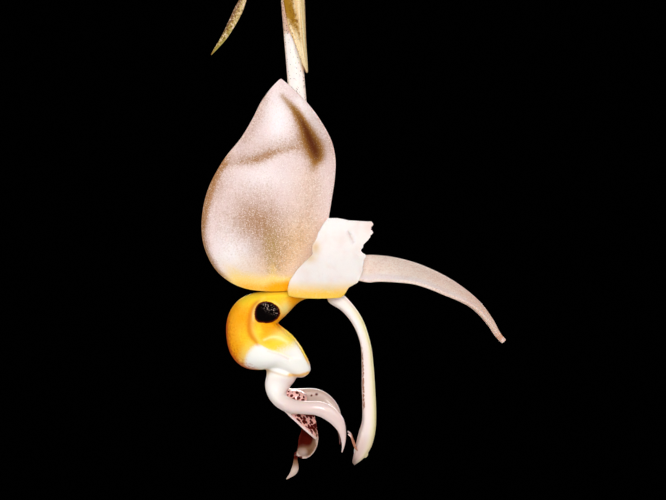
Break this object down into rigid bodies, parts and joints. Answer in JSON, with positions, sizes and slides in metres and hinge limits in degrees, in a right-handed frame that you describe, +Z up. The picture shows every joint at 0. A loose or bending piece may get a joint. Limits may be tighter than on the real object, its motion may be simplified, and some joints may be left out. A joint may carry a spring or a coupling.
{
  "type": "potted stanhopea orchid",
  "caption": "Stanhopea orchid in a hanging slatted wooden pot, with pleated leaves above and a spike below that carries its hanging flower.",
  "frame": {"origin": "where the hanger's hook bears on what holds it up, inside the top of its crook", "axes": "+Z up, along the hanger; the flower is seen from its side along +Y, with its lip towards -X and its column towards +X"},
  "size_m": [0.4053, 0.3427, 0.5814],
  "materials": {
    "hanger_steel": "drawn galvanised wire, dull and lightly scuffed",
    "slat_wood": "oiled reddish hardwood, sawn, with darker end grain",
    "potting_bark": "coarse damp fir bark chips",
    "bulb_green": "smooth ribbed skin, faintly waxy",
    "dry_sheath": "dry papery sheath with fine long veins",
    "leaf_green": "pleated leathery leaf, satin",
    "root_grey": "velvety grey-white root with a green tip",
    "spike_green": "smooth fleshy spike",
    "dry_bract": "thin dry bract with parallel veins",
    "stalk_cream": "cream flesh with fine dark specks",
    "sepal_pink": "fleshy, with a fine glistening grain",
    "petal_white": "thin translucent white flesh",
    "lip_orange": "waxy orange pouch shading to white and pink horns",
    "column_ivory": "waxy ivory flesh, yellow-green at its right edge"
  },
  "bodies": {
    "root": {"hanger_hook": "hanger_steel", "hanger_collar": "hanger_steel", "hanger_wire_1": "hanger_steel", "hanger_wire_2": "hanger_steel", "hanger_wire_3": "hanger_steel", "hanger_wire_4": "hanger_steel", "pot_slat_left_1": "slat_wood", "pot_slat_left_3": "slat_wood", "pot_slat_left_5": "slat_wood", "pot_slat_left_7": "slat_wood", "pot_slat_right_1": "slat_wood", "pot_slat_right_3": "slat_wood", "pot_slat_right_5": "slat_wood", "pot_slat_right_7": "slat_wood", "pot_slat_front_2": "slat_wood", "pot_slat_front_4": "slat_wood", "pot_slat_front_6": "slat_wood", "pot_slat_back_2": "slat_wood", "pot_slat_back_4": "slat_wood", "pot_slat_back_6": "slat_wood", "pot_floor_slat_1": "slat_wood", "pot_floor_slat_2": "slat_wood", "pot_floor_slat_3": "slat_wood", "pot_floor_slat_4": "slat_wood", "potting_bark": "potting_bark", "rhizome": "bulb_green", "bulb_1": "bulb_green", "bulb_2": "bulb_green", "bulb_3": "bulb_green", "bulb_4": "bulb_green", "bulb_sheath_1": "dry_sheath", "bulb_sheath_2": "dry_sheath", "leaf_1": "leaf_green", "leaf_2": "leaf_green", "leaf_3": "leaf_green", "leaf_4": "leaf_green", "root_1": "root_grey", "root_2": "root_grey", "root_3": "root_grey", "flower_spike": "spike_green", "spike_bract_1": "dry_bract", "spike_bract_2": "dry_bract", "flower_bract": "dry_bract", "side_bract": "dry_bract", "flower_stalk": "stalk_cream", "sepal_dorsal": "sepal_pink", "sepal_lateral_near": "sepal_pink", "sepal_lateral_far": "sepal_pink", "petal_stub_near": "petal_white", "petal_stub_far": "petal_white", "lip": "lip_orange", "column": "column_ivory", "anther_cap": "column_ivory"}
  },
  "joints": []
}
